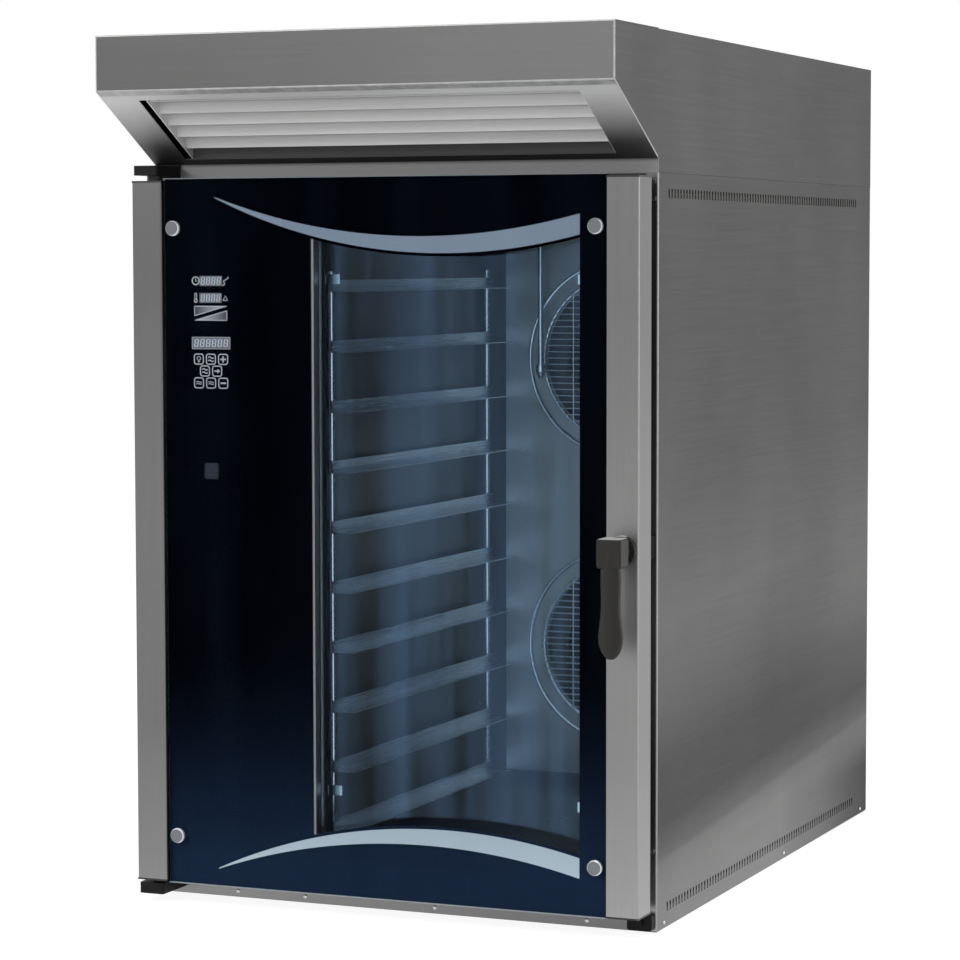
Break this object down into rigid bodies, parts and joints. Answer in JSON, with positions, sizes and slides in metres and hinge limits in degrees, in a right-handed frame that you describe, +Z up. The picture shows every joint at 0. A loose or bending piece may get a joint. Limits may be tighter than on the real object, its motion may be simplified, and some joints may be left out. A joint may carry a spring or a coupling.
{
  "type": "steam convection oven",
  "caption": "Steam convection oven with a left-hinged full-height glass door, turning lever handle, tray racks, rear fans and a projecting louvred extraction hood.",
  "frame": {"origin": "middle of the underside of the base", "axes": "+X to the oven's right as seen from the front, +Y to the rear, +Z up"},
  "size_m": [0.89, 1.435, 1.4648],
  "materials": {
    "stainless": "satin",
    "chamber_steel": "smooth",
    "polished_steel": "polished",
    "heater_sheath": "heat tinted",
    "mineral_wool": "fibrous",
    "seal_rubber": "matt",
    "clear_glass": "polished",
    "black_plastic": "matt",
    "handle_plastic": "matt",
    "black_metal": "matt",
    "motor_paint": "satin",
    "wheel_aluminium": "satin",
    "brass": "turned"
  },
  "bodies": {
    "cabinet": {"base_pan": "stainless", "cable_gland": "black_plastic", "chamber_liner": "chamber_steel", "contactors": "black_plastic", "damper_actuator": "black_plastic", "door_gasket": "seal_rubber", "drain_pipe": "chamber_steel", "electrics_plate": "stainless", "extractor_motor": "motor_paint", "fan_baffle": "chamber_steel", "flue_collar": "chamber_steel", "front_fascia": "stainless", "hood_front": "stainless", "hood_left_cheek": "stainless", "hood_louvres": "stainless", "hood_right_cheek": "stainless", "hood_top": "stainless", "hood_underside": "stainless", "insulation": "mineral_wool", "lamp_cup": "chamber_steel", "lamp_lens": "clear_glass", "latch_keeper": "polished_steel", "left_side_panel": "stainless", "left_tray_rack": "chamber_steel", "lower_fan_guard": "polished_steel", "lower_fan_motor": "motor_paint", "lower_heating_element": "heater_sheath", "lower_hinge_bracket": "black_metal", "lower_right_bracket": "black_metal", "panel_screws": "polished_steel", "rear_panel": "stainless", "right_side_panel": "stainless", "right_tray_rack": "chamber_steel", "steam_pipe": "chamber_steel", "temperature_probe": "chamber_steel", "top_panel": "stainless", "upper_fan_guard": "polished_steel", "upper_fan_motor": "motor_paint", "upper_heating_element": "heater_sheath", "upper_hinge_bracket": "black_metal", "vent_chimney": "chamber_steel", "water_valve": "brass"},
    "door": {"left_door_stile": "stainless", "right_door_stile": "stainless", "stile_end_caps": "black_plastic", "outer_glass": "clear_glass", "glass_caps": "polished_steel", "door_front_frame": "stainless", "door_back_pan": "stainless", "inner_glass": "clear_glass", "glass_clips": "polished_steel", "control_module": "black_plastic", "hinge_bushes": "brass", "handle_rosette": "handle_plastic"},
    "handle": {"handle_lever": "handle_plastic", "latch_hook": "polished_steel"},
    "upper_fan": {"upper_fan_wheel": "wheel_aluminium"},
    "lower_fan": {"lower_fan_wheel": "wheel_aluminium"},
    "extractor_fan": {"extractor_wheel": "wheel_aluminium"},
    "damper": {"damper_flap": "chamber_steel"}
  },
  "joints": [
    {"name": "door_swing", "type": "hinge", "parent": "cabinet", "child": "door", "pos_m": [-0.416, -0.65825, 0.615], "axis": [0, 0, -1], "range_deg": [0, 110]},
    {"name": "handle_turn", "type": "hinge", "parent": "door", "child": "handle", "pos_m": [0.41625, -0.6875, 0.615], "axis": [0, 1, 0], "range_deg": [0, 90]},
    {"name": "upper_fan_spin", "type": "hinge", "parent": "cabinet", "child": "upper_fan", "pos_m": [0.105, 0.2615, 0.885], "axis": [0, 1, 0], "continuous": true},
    {"name": "lower_fan_spin", "type": "hinge", "parent": "cabinet", "child": "lower_fan", "pos_m": [0.105, 0.2615, 0.355], "axis": [0, 1, 0], "continuous": true},
    {"name": "extractor_spin", "type": "hinge", "parent": "cabinet", "child": "extractor_fan", "pos_m": [0, 0.374, 1.345], "axis": [0, 0, 1], "continuous": true},
    {"name": "damper_turn", "type": "hinge", "parent": "cabinet", "child": "damper", "pos_m": [0.105, -0.124, 1.252], "axis": [1, 0, 0], "range_deg": [0, 90]}
  ]
}
